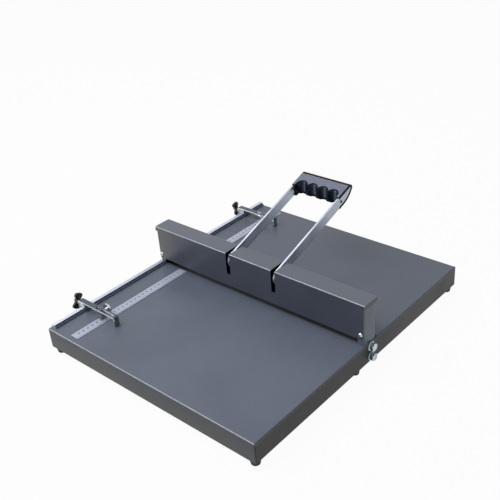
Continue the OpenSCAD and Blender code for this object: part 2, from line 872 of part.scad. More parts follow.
module at_pad_screws() {
    for (side = [-1, 1], end = [-1, 1])
        translate([side * cam_x + end * pad_screw_x, beam_y, pad_top]) children();
}

module press_bar() {
    color("gray") placed() difference() {
        translate([-bar_l / 2, beam_y - bar_d / 2, bar_bottom]) cube([bar_l, bar_d, bar_h]);
        translate([-bar_l / 2 - over, beam_y - blade_t / 2 - fit_gap, bar_bottom - over])
            cube([bar_l + 2 * over, blade_t + 2 * fit_gap, blade_slot_h + over]);
        at_springs() translate([0, 0, bar_bottom - over])
            cylinder(r = spring_pocket_r, h = spring_pocket + over);
        at_blade_screws() cylinder(d = blade_screw_d + 2 * fit_gap, h = bar_d);
        at_pad_screws() translate([0, 0, -pad_screw_l - pad_top + bar_top - over])
            cylinder(d = pad_screw[0] + 2 * fit_gap, h = pad_top);
    }
}

module crease_blade() {
    color("silver") placed() translate([0, beam_y, 0]) along_x(crease_l) {
        polygon([[-blade_t / 2, blade_high], [-blade_t / 2, blade_low + blade_taper_h],
            [-blade_tip_w / 2, blade_low + blade_tip_w / 2],
            [blade_tip_w / 2, blade_low + blade_tip_w / 2],
            [blade_t / 2, blade_low + blade_taper_h], [blade_t / 2, blade_high]]);
        translate([0, blade_low + blade_tip_w / 2]) circle(d = blade_tip_w);
    }
}

module blade_screws() {
    color("dimgray") placed() at_blade_screws() difference() {
        cylinder(d = blade_screw_d, h = blade_screw_l);
        translate([0, 0, blade_screw_l - blade_screw_d * socket_share])
            cylinder(d = blade_screw_d * socket_share / cos(30), h = blade_screw_d, $fn = 6);
    }
}

module cam_pads() {
    color("silver") placed() difference() {
        for (side = [-1, 1])
            translate([side * cam_x - pad_l / 2, beam_y - bar_d / 2, bar_top])
                cube([pad_l, bar_d, pad_top - bar_top]);
        at_pad_screws() countersunk(fit_gap, over);
    }
}

module pad_screws() {
    color("dimgray") placed() difference() {
        at_pad_screws() countersunk(0, 0);
        at_pad_screws() translate([0, 0, -pad_screw[0] * socket_share])
            cylinder(d = pad_screw[0] * socket_share, h = pad_screw[0], $fn = 6);
    }
}

// The head stands a little below the pad's face
module countersunk(gap, rise) {
    depth = pad_top - bar_top + pad_screw_l;
    translate([0, 0, -pad_screw_sink]) {
        translate([0, 0, -depth]) cylinder(d = pad_screw[0] + 2 * gap, h = depth);
        translate([0, 0, -pad_screw[2]])
            cylinder(d1 = pad_screw[0] + 2 * gap, d2 = pad_screw[1] + 2 * gap, h = pad_screw[2]);
        if (rise > 0) cylinder(d = pad_screw[1] + 2 * gap, h = rise + pad_screw_sink);
    }
}

// Side rail and rulers
module at_rail_screws() {
    for (run = [[rail_front, rail_mid_front], [rail_mid_rear, rail_rear]], share = [0.1, 0.5, 0.9])
        translate([-base_w / 2 + rail_screw_x, run[0] + (run[1] - run[0]) * share, table_z - base_t])
            rotate([180, 0, 0]) children();
}

module rail_section() {
    difference() {
        union() {
            translate([rail_rib_inset, 0]) square([rail_rib_w, rail_rib_h]);
            square([rail_w, rail_ledge_h]);
        }
        for (n = [-1, 0, 1]) translate([rail_screw_x + n * rail_groove_pitch, rail_rib_h])
            circle(rail_groove, $fn = 4);
    }
}

module guide_rail(from, to) {
    color("lightgray") placed() difference() {
        translate([-base_w / 2, (from + to) / 2, table_z]) along_y(to - from) rail_section();
        at_rail_screws() translate([0, 0, -rail_screw_l])
            cylinder(d = rail_screw[0] + 2 * fit_gap, h = 2 * rail_screw_l);
    }
}

module front_rail() {
    guide_rail(rail_front, rail_mid_front);
}

module rear_rail() {
    guide_rail(rail_mid_rear, rail_rear);
}

module rail_screws() {
    color("silver") placed() at_rail_screws()
        trimmed_screw(rail_screw, rail_screw_l - fit_gap);
}

module ruler(from, to) {
    color("gainsboro") placed()
        translate([-base_w / 2 + ruler_x + ruler_w / 2, (from + to) / 2, table_z])
            linear_extrude(ruler_t) round_square(ruler_w, to - from, ruler_corner_r);
}

module front_ruler() {
    ruler(-base_l / 2 + ruler_inset, beam_y - anvil_d / 2 - ruler_beam_gap);
}

module rear_ruler() {
    ruler(beam_y + anvil_d / 2 + ruler_beam_gap, base_l / 2 - ruler_inset);
}

// Stops: drawn with the paper face towards +Y, and mirrored for the rear one
module at_front_stop() {
    placed() translate([0, front_stop_y, 0]) children();
}

module at_rear_stop() {
    placed() translate([0, rear_stop_y, 0]) mirror([0, 1, 0]) children();
}

module stop_arm() {
    length = stop_left - stop_right;
    slot_l = stop_l - stop_slot_start - stop_slot_end - stop_slot_w;
    difference() {
        translate([-(stop_left + stop_right) / 2, 0, stop_foot_z]) along_y(stop_w)
            channel(length, stop_top - stop_foot_z, stop_t, stop_fold_r);
        translate([-stop_left - over, -stop_w, stop_foot_z - over])
            cube([stop_t + 2 * over, 2 * stop_w, stop_flange_low + over]);
        translate([-base_w / 2 + stop_slot_start + stop_slot_w / 2, -stop_slot_shift, stop_under - over])
            linear_extrude(stop_t + 2 * over) {
                translate([0, -stop_slot_w / 2]) square([slot_l, stop_slot_w]);
                circle(d = stop_slot_w);
                translate([slot_l, 0]) circle(d = stop_slot_w);
            }
        translate([-base_w / 2, 0, wing_z]) rotate([0, 90, 0])
            cylinder(d = wing_shank_d + 2 * fit_gap, h = 4 * stop_t, center = true);
    }
}

// The jaw hooks over the rib and is drawn outwards by the wing screw
module clamp_jaw() {
    jaw_left = slide_gap;
    jaw_right = rail_rib_in + slide_gap + jaw_lip;
    difference() {
        translate([-base_w / 2, 0, table_z]) along_y(stop_w) polygon([
            [jaw_left, rail_rib_h + slide_gap], [rail_rib_in + slide_gap, rail_rib_h + slide_gap],
            [rail_rib_in + slide_gap, jaw_low], [jaw_right, jaw_low],
            [jaw_right, stop_rise - stop_t - jaw_edge], [jaw_right - jaw_edge, stop_rise - stop_t],
            [jaw_left, stop_rise - stop_t]]);
        translate([-base_w / 2 - over, 0, wing_z]) rotate([0, 90, 0])
            cylinder(d = wing_shank_d + 2 * fit_gap, h = jaw_right + 2 * over);
    }
}

// The block's key is riveted over in the arm's slot
module screw_block(shift) {
    key_w = stop_slot_w - 2 * fit_gap;
    translate([-base_w / 2 + adjust_x + shift, 0, 0]) difference() {
        union() {
            translate([-block_w / 2, -stop_w / 2, block_low])
                cube([block_w, stop_w, stop_under - block_low]);
            translate([-block_key_l / 2, -stop_slot_shift - key_w / 2, block_low])
                cube([block_key_l, key_w, stop_top - block_key_drop - block_low]);
        }
        translate([0, 0, adjust_z]) rotate([90, 0, 0])
            cylinder(d = adjust_shank_d + 2 * fit_gap, h = stop_w + 2 * over, center = true);
    }
}

module adjust_screw(gap, shift) {
    translate([-base_w / 2 + adjust_x + shift, stop_w / 2 + gap, adjust_z]) rotate([-90, 0, 0]) {
        translate([0, 0, -stop_w - front_adjust_gap])
            cylinder(d = adjust_shank_d, h = stop_w + front_adjust_gap);
        cylinder(d = adjust_d, h = adjust_face_t - adjust_edge);
        translate([0, 0, adjust_face_t - adjust_edge])
            cylinder(d1 = adjust_d, d2 = adjust_d - 2 * adjust_edge, h = adjust_edge);
    }
}

module wing_screw(tilt) {
    translate([-stop_left - wing_stand, 0, wing_z]) rotate([tilt, 0, 0]) rotate([0, -90, 0]) {
        translate([0, 0, -wing_shank_l - wing_stand])
            cylinder(d = wing_shank_d, h = wing_shank_l + wing_hub_l / 2);
        cylinder(d1 = wing_hub_d, d2 = wing_hub_d - wing_waist_r, h = wing_hub_l);
        translate([0, 0, wing_out - wing_t / 2]) linear_extrude(wing_t) {
            wing_lobe();
            mirror([1, 0]) wing_lobe();
        }
    }
}

module wing_lobe() {
    hull() {
        circle(wing_waist_r, $fn = 32);
        for (side = [-1, 1])
            translate([wing_span / 2 - wing_tip_r, side * wing_tip_pitch / 2])
                circle(wing_tip_r, $fn = 32);
    }
}

module front_stop_arm() {
    color("dimgray") at_front_stop() stop_arm();
}

module front_clamp_jaw() {
    color("silver") at_front_stop() clamp_jaw();
}

module front_screw_block() {
    color("dimgray") at_front_stop() screw_block(0);
}

module front_adjust_screw() {
    color("silver") at_front_stop() adjust_screw(front_adjust_gap, 0);
}

module front_wing_screw() {
    color("black") at_front_stop() wing_screw(front_wing_tilt);
}

module rear_stop_arm() {
    color("dimgray") at_rear_stop() stop_arm();
}

module rear_clamp_jaw() {
    color("silver") at_rear_stop() clamp_jaw();
}

module rear_screw_block() {
    color("dimgray") at_rear_stop() screw_block(rear_adjust_shift);
}

module rear_adjust_screw() {
    color("silver") at_rear_stop() adjust_screw(rear_adjust_gap, rear_adjust_shift);
}

module rear_wing_screw() {
    color("black") at_rear_stop() wing_screw(rear_wing_tilt);
}

base_pan();
rubber_feet();
foot_screws();
foot_nuts();
left_bracket();
right_bracket();
bracket_bolts();
bracket_washers();
lock_washers();
beam_cover();
cover_screws();
anvil_bar();
left_spring();
right_spring();
shaft_bushes();
front_rail();
rear_rail();
rail_screws();
front_ruler();
rear_ruler();
pivot_shaft();
left_cam();
right_cam();
shaft_pins();
left_arm();
right_arm();
grip_shell();
grip_pad();
finger_grip();
grip_screws();
press_bar();
crease_blade();
blade_screws();
cam_pads();
pad_screws();
front_stop_arm();
front_clamp_jaw();
front_screw_block();
front_adjust_screw();
front_wing_screw();
rear_stop_arm();
rear_clamp_jaw();
rear_screw_block();
rear_adjust_screw();
rear_wing_screw();
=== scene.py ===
import json
import math

import bmesh
import bpy
from mathutils import Matrix, Quaternion, Vector


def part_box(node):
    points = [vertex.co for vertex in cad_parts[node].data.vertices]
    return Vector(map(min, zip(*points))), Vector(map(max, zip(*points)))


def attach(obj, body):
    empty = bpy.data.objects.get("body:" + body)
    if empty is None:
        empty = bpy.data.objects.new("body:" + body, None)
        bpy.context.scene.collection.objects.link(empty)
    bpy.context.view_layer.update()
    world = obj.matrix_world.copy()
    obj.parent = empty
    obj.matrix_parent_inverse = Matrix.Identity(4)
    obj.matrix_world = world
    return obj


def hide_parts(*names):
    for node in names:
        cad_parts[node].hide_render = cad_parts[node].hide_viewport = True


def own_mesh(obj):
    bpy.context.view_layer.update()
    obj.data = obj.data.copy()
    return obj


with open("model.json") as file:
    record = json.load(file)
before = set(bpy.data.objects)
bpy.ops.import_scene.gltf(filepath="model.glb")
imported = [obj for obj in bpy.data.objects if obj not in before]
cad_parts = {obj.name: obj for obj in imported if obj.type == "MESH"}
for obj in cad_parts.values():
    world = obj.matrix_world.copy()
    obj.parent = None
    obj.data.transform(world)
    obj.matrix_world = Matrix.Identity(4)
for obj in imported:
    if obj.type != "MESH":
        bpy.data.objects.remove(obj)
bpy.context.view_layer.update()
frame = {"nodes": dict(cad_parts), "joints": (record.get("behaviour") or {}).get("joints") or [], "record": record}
mm = 0.001
nodeBody = {node: body
            for body, nodes in frame["record"]["behaviour"]["bodies"].items()
            for node in nodes}
joints = {joint["name"]: joint for joint in frame["joints"]}
print("frame loaded,", len(frame["nodes"]), "nodes")


def paint(red, green, blue):  # screen values 0 to 255, as a shader socket takes them
    linear = [(c / 255 / 12.92 if c <= 10 else ((c / 255 + 0.055) / 1.055) ** 2.4)
              for c in (red, green, blue)]
    return (*linear, 1.0)


# Shader tools

def newGroup(name, takes, gives):
    tree = bpy.data.node_groups.new(name, "ShaderNodeTree")
    for label, kind, value in takes:
        socket = tree.interface.new_socket(label, in_out="INPUT", socket_type="NodeSocket" + kind)
        socket.default_value = value
    for label, kind in gives:
        tree.interface.new_socket(label, in_out="OUTPUT", socket_type="NodeSocket" + kind)
    return tree, tree.nodes.new("NodeGroupInput"), tree.nodes.new("NodeGroupOutput")


def addNode(tree, kind, inputs=None, **settings):
    node = tree.nodes.new("ShaderNode" + kind)
    for key, value in settings.items():
        setattr(node, key, value)
    for key, value in (inputs or {}).items():
        if isinstance(value, bpy.types.NodeSocket):
            tree.links.new(value, node.inputs[key])
        else:
            node.inputs[key].default_value = value
    return node


def calc(tree, operation, first, second=0.0):
    return addNode(tree, "Math", {0: first, 1: second}, operation=operation).outputs[0]


def vectorCalc(tree, operation, first, second=(0, 0, 0)):
    return addNode(tree, "VectorMath", {0: first, 1: second}, operation=operation).outputs[0]


def takeAxis(tree, vector, axis):
    return addNode(tree, "SeparateXYZ", {0: vector}).outputs[axis]


def turnAboutX(tree, vector, angle):
    turning = addNode(tree, "VectorRotate", {"Vector": vector, "Angle": angle}, rotation_type="X_AXIS")
    return turning.outputs[0]


# Low to high, with soft ends, while the value goes from start to stop
def smoothRange(tree, value, start, stop, low=0.0, high=1.0):
    inputs = {"Value": value, "From Min": start, "From Max": stop, "To Min": low, "To Max": high}
    return addNode(tree, "MapRange", inputs, interpolation_type="SMOOTHSTEP").outputs["Result"]


def blendColour(tree, factor, low, high):
    node = addNode(tree, "Mix", data_type="RGBA")
    for index, value in ((0, factor), (6, low), (7, high)):
        if isinstance(value, bpy.types.NodeSocket):
            tree.links.new(value, node.inputs[index])
        else:
            node.inputs[index].default_value = value
    return node.outputs[2]


# Wear and painted highlight along the outer edges of a box that may be turned about X, with a painted highlight
# along its top front fold
wearAndHighlightPattern = {"chipScale": 420.0, "chipDetail": 3.0, "breakup": 0.5, "foldWander": 0.1,
               "wander": 6.0, "foldWide": 1.5}  # these two in widths of the worn and highlighted line


def makeEdgeWearAndHighlight():
    tree, given, result = newGroup(
        "edgeWearAndHighlight",
        [("Centre", "Vector", (0, 0, 0)), ("Half Size", "Vector", (1, 1, 1)),
         ("Turn", "Float", 0.0), ("Width", "Float", 0.001), ("Breakup", "Float", wearAndHighlightPattern["breakup"])],
        [("Mask", "Float"), ("Front Fold Highlight", "Float")])
    half, width = given.outputs["Half Size"], given.outputs["Width"]
    coords = addNode(tree, "TexCoord").outputs["Object"]
    offset = vectorCalc(tree, "SUBTRACT", coords, given.outputs["Centre"])
    turned = turnAboutX(tree, offset, given.outputs["Turn"])
    outward = vectorCalc(tree, "ABSOLUTE", turned)
    x, y, z = addNode(tree, "SeparateXYZ", {0: vectorCalc(tree, "SUBTRACT", half, outward)}).outputs
    nearest = calc(tree, "MINIMUM", calc(tree, "MAXIMUM", x, y), calc(tree, "MAXIMUM", y, z))
    nearest = calc(tree, "MINIMUM", nearest, calc(tree, "MAXIMUM", x, z))
    chips = addNode(tree, "TexNoise", {"Vector": coords, "Scale": wearAndHighlightPattern["chipScale"],
                                       "Detail": wearAndHighlightPattern["chipDetail"]}).outputs["Fac"]
    shift = calc(tree, "MULTIPLY", calc(tree, "SUBTRACT", chips, 0.5), given.outputs["Breakup"])
    wander = calc(tree, "MULTIPLY", shift, calc(tree, "MULTIPLY", width, wearAndHighlightPattern["wander"]))
    mask = smoothRange(tree, calc(tree, "ADD", nearest, wander), 0.0, width, 1.0, 0.0)
    tree.links.new(mask, result.inputs["Mask"])
    # painted highlight along the top front fold
    fromFront = takeAxis(tree, vectorCalc(tree, "ADD", half, turned), "Y")
    fromTop = takeAxis(tree, vectorCalc(tree, "SUBTRACT", half, turned), "Z")
    fold = calc(tree, "ADD", calc(tree, "MAXIMUM", fromFront, fromTop),
                calc(tree, "MULTIPLY", wander, wearAndHighlightPattern["foldWander"]))
    foldWidth = calc(tree, "MULTIPLY", width, wearAndHighlightPattern["foldWide"])
    tree.links.new(smoothRange(tree, fold, 0.0, foldWidth, 1.0, 0.0), result.inputs["Front Fold Highlight"])
    return tree


# Fine pebble of powder coat, with the slow unevenness of a sprayed sheet
pebblePattern = {"cellScale": 0.55, "fineShare": 0.6, "cellShare": 0.4,
                 "dustScale": 2400.0, "dustSpan": (0.66, 0.78)}


def makePebble():
    tree, given, result = newGroup(
        "pebble",
        [("Pebble Scale", "Float", 900.0), ("Cloud Scale", "Float", 9.0)],
        [("Height", "Float"), ("Cloud", "Float"), ("Speck", "Float")])
    coords = addNode(tree, "TexCoord").outputs["Object"]
    fine = addNode(tree, "TexNoise", {"Vector": coords, "Scale": given.outputs["Pebble Scale"],
                                      "Detail": 2.0, "Roughness": 0.45})
    cellScale = calc(tree, "MULTIPLY", given.outputs["Pebble Scale"], pebblePattern["cellScale"])
    cells = addNode(tree, "TexVoronoi", {"Vector": coords, "Scale": cellScale}, feature="SMOOTH_F1")
    height = calc(tree, "ADD", calc(tree, "MULTIPLY", fine.outputs["Fac"], pebblePattern["fineShare"]),
                  calc(tree, "MULTIPLY", cells.outputs["Distance"], pebblePattern["cellShare"]))
    cloud = addNode(tree, "TexNoise", {"Vector": coords, "Scale": given.outputs["Cloud Scale"],
                                       "Detail": 4.0, "Roughness": 0.6})
    dust = addNode(tree, "TexNoise", {"Vector": coords, "Scale": pebblePattern["dustScale"], "Detail": 1.0})
    tree.links.new(height, result.inputs["Height"])
    tree.links.new(cloud.outputs["Fac"], result.inputs["Cloud"])
    tree.links.new(smoothRange(tree, dust.outputs["Fac"], *pebblePattern["dustSpan"]), result.inputs["Speck"])
    return tree


# Long scratches of rolled, drawn or ground metal; Stretch is the number of lines per metre on each axis
linePattern = {"wideScale": 0.17, "fineShare": 0.5, "wideShare": 0.5, "smudgeScale": 32.0, "smudgeWarp": 0.4}


def makeDrawnLines():
    tree, given, result = newGroup(
        "drawnLines",
        [("Stretch", "Vector", (20, 2000, 2000)), ("Turn", "Float", 0.0)],
        [("Height", "Float"), ("Streak", "Float"), ("Smudge", "Float")])
    coords = addNode(tree, "TexCoord").outputs["Object"]
    turned = turnAboutX(tree, coords, given.outputs["Turn"])
    stretched = vectorCalc(tree, "MULTIPLY", turned, given.outputs["Stretch"])
    lines = addNode(tree, "TexNoise", {"Vector": stretched, "Scale": 1.0, "Detail": 3.0, "Roughness": 0.7})
    wide = addNode(tree, "TexNoise", {"Vector": stretched, "Detail": 2.0, "Scale": linePattern["wideScale"]})
    smudge = addNode(tree, "TexNoise", {"Vector": coords, "Detail": 3.0, "Scale": linePattern["smudgeScale"],
                                        "Distortion": linePattern["smudgeWarp"]})
    streak = calc(tree, "ADD", calc(tree, "MULTIPLY", lines.outputs["Fac"], linePattern["fineShare"]),
                  calc(tree, "MULTIPLY", wide.outputs["Fac"], linePattern["wideShare"]))
    tree.links.new(lines.outputs["Fac"], result.inputs["Height"])
    tree.links.new(streak, result.inputs["Streak"])
    tree.links.new(smudge.outputs["Fac"], result.inputs["Smudge"])
    return tree


edgeWearAndHighlight = makeEdgeWearAndHighlight()
pebble = makePebble()
drawnLines = makeDrawnLines()
print("shader groups made")


# Materials

shaftCentre = Vector(joints["handle_swing"]["pos_m"])
handleTurn = math.radians(-18.5)  # the handle's lean at rest, taken out of its patterns
noiseSpan = (0.3, 0.7)  # where nearly all of a noise lies
mixedSpan = (0.35, 0.65)  # and of two noises added
# How squarely a face has to look one way, from where an effect starts to where it is full
faceSpan = {"paintedShading": (0.6, 0.9), "split": (0.5, 0.75), "back": (-0.7, -0.2)}
splitSoft = {"rib": 0.1, "height": 1.5, "endShare": 0.35}


def useGroup(tree, group, **inputs):
    node = tree.nodes.new("ShaderNodeGroup")
    node.node_tree = group
    for key, value in inputs.items():
        node.inputs[key.replace("_", " ")].default_value = value
    return node


def turnedBox(node, turn):  # centre and half size of a node's box in turned directions
    turning = Matrix.Rotation(turn, 3, "X")
    points = [turning @ v.co for v in frame["nodes"][node].data.vertices]
    low = Vector([min(p[k] for p in points) for k in range(3)])
    high = Vector([max(p[k] for p in points) for k in range(3)])
    return turning.inverted() @ ((low + high) / 2), (high - low) / 2


def startMaterial(name, look):
    material = bpy.data.materials.new(name)
    material.use_nodes = True
    shader = material.node_tree.nodes["Principled BSDF"]
    white = (1.0, 1.0, 1.0, 1.0)
    for socket, key, usual in (("Metallic", "metallic", 0.0), ("Coat Weight", "coat", 0.0),
                               ("Coat Roughness", "coatRough", 0.15), ("Specular IOR Level", "specular", 0.5),
                               ("Specular Tint", "tint", white), ("Coat Tint", "tint", white)):
        shader.inputs[socket].default_value = look.get(key, usual)
    return material, material.node_tree, shader


def darkToLight(tree, noise, look):
    return blendColour(tree, smoothRange(tree, noise, *noiseSpan), look["dark"], look["light"])


def addWearAndHighlight(tree, colour, node, look, turn):
    centre, half = turnedBox(node, turn)
    wearAndHighlight = useGroup(tree, edgeWearAndHighlight, Centre=centre, Half_Size=half, Turn=turn, Width=look["edge"] * mm)
    # lighter edges: wear, and a painted highlight along the edge line
    share = calc(tree, "MULTIPLY", wearAndHighlight.outputs["Mask"], look["edgeShare"])
    colour = blendColour(tree, share, colour, look["edgeColour"])
    # painted highlight along the front top fold
    if "foldHighlightShare" in look:
        share = calc(tree, "MULTIPLY", wearAndHighlight.outputs["Front Fold Highlight"], look["foldHighlightShare"])
        colour = blendColour(tree, share, colour, look["foldHighlightColour"])
    return colour


# Painted light and shade: a flat face that looks one way changes tone along one axis, from the first place to the
# second, in mm
def addPaintedShading(tree, colour, paintedShading):
    coords = addNode(tree, "TexCoord").outputs
    sign, axis = paintedShading["facing"]
    place = takeAxis(tree, coords["Object"], paintedShading["axis"])
    along = smoothRange(tree, place, paintedShading["from"] * mm, paintedShading["to"] * mm, 0.0, paintedShading["share"])
    facing = calc(tree, "MULTIPLY", takeAxis(tree, coords["Normal"], axis), -1.0 if sign == "-" else 1.0)
    facing = smoothRange(tree, facing, *faceSpan["paintedShading"])
    return blendColour(tree, calc(tree, "MULTIPLY", along, facing), colour, paintedShading["colour"])


# Painted reflection in the finger grooves: a pale stripe down the middle of each groove, a pitch apart along X, on
# faces that look to the front
def addGrooveSheen(tree, colour, rub):
    coords = addNode(tree, "TexCoord").outputs
    across = calc(tree, "SUBTRACT", takeAxis(tree, coords["Object"], "X"), shaftCentre.x)
    steps = calc(tree, "DIVIDE", across, rub["pitch"] * mm)
    away = calc(tree, "ABSOLUTE", calc(tree, "SUBTRACT", calc(tree, "FRACT", steps), 0.5))
    stripe = smoothRange(tree, away, 0.0, rub["wide"] / 2, rub["share"], 0.0)
    back = smoothRange(tree, takeAxis(tree, coords["Normal"], "Y"), *faceSpan["back"], 1.0, 0.0)
    return blendColour(tree, calc(tree, "MULTIPLY", stripe, back), colour, rub["colour"])


def addBump(tree, shader, height, look):
    bump = addNode(tree, "Bump", {"Height": height, "Strength": look["bump"],
                                  "Distance": look["depth"] * mm})
    tree.links.new(bump.outputs["Normal"], shader.inputs["Normal"])


# Where a piece has a second tone: dark past a rail's rib, which also paints the shade on the rib's inner wall; a
# painted highlight on sheared ends and on the arms' upper edges
def splitShare(tree, look, node, turn):
    coords = addNode(tree, "TexCoord").outputs
    if look["split"] == "inside":  # past the rib's inner corner, counted from the piece's left side
        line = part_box(node)[0].x + look["splitAt"] * mm
        soft = splitSoft["rib"] * mm
        return smoothRange(tree, takeAxis(tree, coords["Object"], "X"), line - soft, line + soft)
    turned = turnAboutX(tree, coords["Normal"], turn)
    if look["split"] == "sheared":  # faces that look to the front and rear
        facing = takeAxis(tree, vectorCalc(tree, "ABSOLUTE", turned), "Y")
    else:  # faces that look up
        facing = takeAxis(tree, turned, "Z")
    share = smoothRange(tree, facing, *faceSpan["split"])
    height = takeAxis(tree, coords["Object"], "Z")
    above = look["splitAbove"] * mm
    above = smoothRange(tree, height, above - splitSoft["height"] * mm, above)
    share = calc(tree, "MULTIPLY", share, above)
    if "splitEnds" in look:
        low, high = look["splitEnds"]
        ends = smoothRange(tree, height, low * mm, high * mm, 1.0, splitSoft["endShare"])
        share = calc(tree, "MULTIPLY", share, ends)
    return share


def addSplit(tree, shader, colour, look, node, turn):
    share = splitShare(tree, look, node, turn)
    metallic = smoothRange(tree, share, 0.0, 1.0, look.get("metallic", 0.0), look.get("splitMetallic", 0.0))
    tree.links.new(metallic, shader.inputs["Metallic"])
    return blendColour(tree, share, colour, look["splitColour"])


# Sprayed and moulded surfaces
def coated(name, node, look, turn=0.0):
    material, tree, shader = startMaterial(name, look)
    grain = useGroup(tree, pebble, Pebble_Scale=look["pebble"], Cloud_Scale=look["cloud"])
    colour = darkToLight(tree, grain.outputs["Cloud"], look)
    colour = blendColour(tree, calc(tree, "MULTIPLY", grain.outputs["Speck"], look["speck"]),
                         colour, look["edgeColour"])
    for paintedShading in look.get("paintedShadings", ()):
        colour = addPaintedShading(tree, colour, paintedShading)
    if "rub" in look:
        colour = addGrooveSheen(tree, colour, look["rub"])
    colour = addWearAndHighlight(tree, colour, node, look, turn)
    if "split" in look:
        colour = addSplit(tree, shader, colour, look, node, turn)
    tree.links.new(colour, shader.inputs["Base Color"])
    rough = smoothRange(tree, grain.outputs["Cloud"], *noiseSpan, *look["rough"])
    tree.links.new(rough, shader.inputs["Roughness"])
    addBump(tree, shader, grain.outputs["Height"], look)
    return material


# Ground, drawn, turned and plated metal
def bareMetal(name, node, look, turn):
    look = {"metallic": 1.0} | look
    material, tree, shader = startMaterial(name, look)
    lines = useGroup(tree, drawnLines, Stretch=look["stretch"], Turn=turn)
    colour = darkToLight(tree, lines.outputs["Streak"], look)
    colour = addWearAndHighlight(tree, colour, node, look, turn)
    if "split" in look:
        colour = addSplit(tree, shader, colour, look, node, turn)
    tree.links.new(colour, shader.inputs["Base Color"])
    mixed = calc(tree, "DIVIDE", calc(tree, "ADD", lines.outputs["Streak"], lines.outputs["Smudge"]), 2.0)
    tree.links.new(smoothRange(tree, mixed, *mixedSpan, *look["rough"]), shader.inputs["Roughness"])
    addBump(tree, shader, lines.outputs["Height"], look)
    return material


# Widths, depths and places in mm, noise scales per metre, colours as they show on a screen
tableCoat = {
    "dark": paint(97, 103, 116), "light": paint(106, 112, 125), "edgeColour": paint(116, 122, 134),
    # painted highlight: the front top fold in white
    "foldHighlightColour": paint(255, 255, 255), "foldHighlightShare": 1.0, "edge": 1.1, "edgeShare": 0.3, "specular": 0.3,
    "pebble": 1100.0, "cloud": 7.0, "speck": 0.1, "rough": (0.34, 0.44), "bump": 0.25, "depth": 0.03,
    "paintedShadings": (
        # painted shade: the front skirt darker below its top fold, with a painted floor reflection lighter and
        # warmer towards its bottom; painted shade on the right skirt; painted shade towards the rear of the top
        {"facing": "-Y", "axis": "Z", "from": 52, "to": 46, "share": 0.6, "colour": paint(44, 45, 46)},
        {"facing": "-Y", "axis": "Z", "from": 46, "to": 16, "share": 0.45, "colour": paint(94, 93, 84)},
        {"facing": "+X", "axis": "Z", "from": 52, "to": 44, "share": 0.96, "colour": paint(8, 9, 12)},
        {"facing": "+Z", "axis": "Y", "from": -200, "to": 290, "share": 0.3, "colour": paint(60, 65, 76)})}
coverCoat = {
    "dark": paint(74, 79, 91), "light": paint(82, 87, 100), "edgeColour": paint(134, 140, 152),
    # painted highlight: the front top fold in white
    "foldHighlightColour": paint(255, 255, 255), "foldHighlightShare": 1.0, "edge": 1.1, "edgeShare": 0.3,
    "pebble": 1100.0, "cloud": 9.0, "speck": 0.08, "rough": (0.3, 0.4), "bump": 0.22, "depth": 0.03,
    "paintedShadings": (
        # painted light towards the left end of the front, painted light on the top, painted shade on the right end
        # faces
        {"facing": "-Y", "axis": "X", "from": -170, "to": -225, "share": 0.7, "colour": paint(112, 110, 104)},
        {"facing": "+Z", "axis": "Z", "from": 124, "to": 125, "share": 0.7, "colour": paint(95, 100, 111)},
        {"facing": "+X", "axis": "Z", "from": 131, "to": 130, "share": 0.75, "colour": paint(24, 27, 32)})}
bracketCoat = {
    "dark": paint(105, 116, 134), "light": paint(118, 130, 149), "edgeColour": paint(160, 165, 174),
    "edge": 0.9, "edgeShare": 0.4, "pebble": 1300.0, "cloud": 22.0, "speck": 0.1,
    "rough": (0.36, 0.46), "bump": 0.22, "depth": 0.03}
stopCoat = {
    "dark": paint(72, 80, 93), "light": paint(88, 96, 110), "edgeColour": paint(190, 192, 202),
    # painted highlight: the front and rear sheared faces above 63 mm in pure white, and a light painted highlight
    # on the edges
    "split": "sheared", "splitColour": paint(255, 255, 255), "splitAbove": 63.0,
    "specular": 0.25, "edge": 0.5, "edgeShare": 0.75, "pebble": 1500.0, "cloud": 40.0, "speck": 0.08,
    "rough": (0.3, 0.42), "bump": 0.2, "depth": 0.03,
    "paintedShadings": (
        # painted light on the lower faces that look right and to the front
        {"facing": "+X", "axis": "Z", "from": 67, "to": 63, "share": 1.0, "colour": paint(124, 131, 144)},
        {"facing": "-Y", "axis": "Z", "from": 64, "to": 62, "share": 1.0, "colour": paint(136, 142, 154)})}
blockCoat = {key: value for key, value in stopCoat.items() if not key.startswith("split")}
padGrain = {
    # the light edge line is a painted highlight
    "dark": paint(98, 102, 122), "light": paint(126, 130, 150), "edgeColour": paint(190, 194, 208),
    "edge": 0.8, "edgeShare": 0.8, "pebble": 1900.0, "cloud": 620.0, "speck": 0.2,
    "rough": (0.42, 0.55), "bump": 0.5, "depth": 0.06}
shellBlack = {
    "dark": paint(8, 8, 10), "light": paint(14, 14, 16), "edgeColour": paint(20, 20, 24), "specular": 0.12,
    "edge": 0.7, "edgeShare": 0.3, "pebble": 1700.0, "cloud": 24.0, "speck": 0.06,
    "rough": (0.45, 0.6), "bump": 0.25, "depth": 0.03}
fingerBlack = {
    "dark": paint(7, 8, 13), "light": paint(12, 14, 21), "edgeColour": paint(34, 37, 48),
    # painted reflection: a pale stripe down each finger groove
    "rub": {"colour": paint(112, 121, 142), "share": 0.85, "pitch": 23.875, "wide": 0.34},
    "tint": (0.65, 0.78, 1.0, 1.0), "specular": 0.4, "coat": 0.25, "coatRough": 0.12,
    "edge": 0.5, "edgeShare": 0.3, "pebble": 1500.0, "cloud": 30.0, "speck": 0.04,
    "rough": (0.26, 0.36), "bump": 0.12, "depth": 0.03}
knobBlack = {
    "dark": paint(13, 13, 14), "light": paint(22, 22, 23), "edgeColour": paint(74, 76, 74),
    "edge": 0.6, "edgeShare": 0.3, "pebble": 1600.0, "cloud": 60.0, "speck": 0.05,
    "rough": (0.26, 0.38), "bump": 0.25, "depth": 0.04}
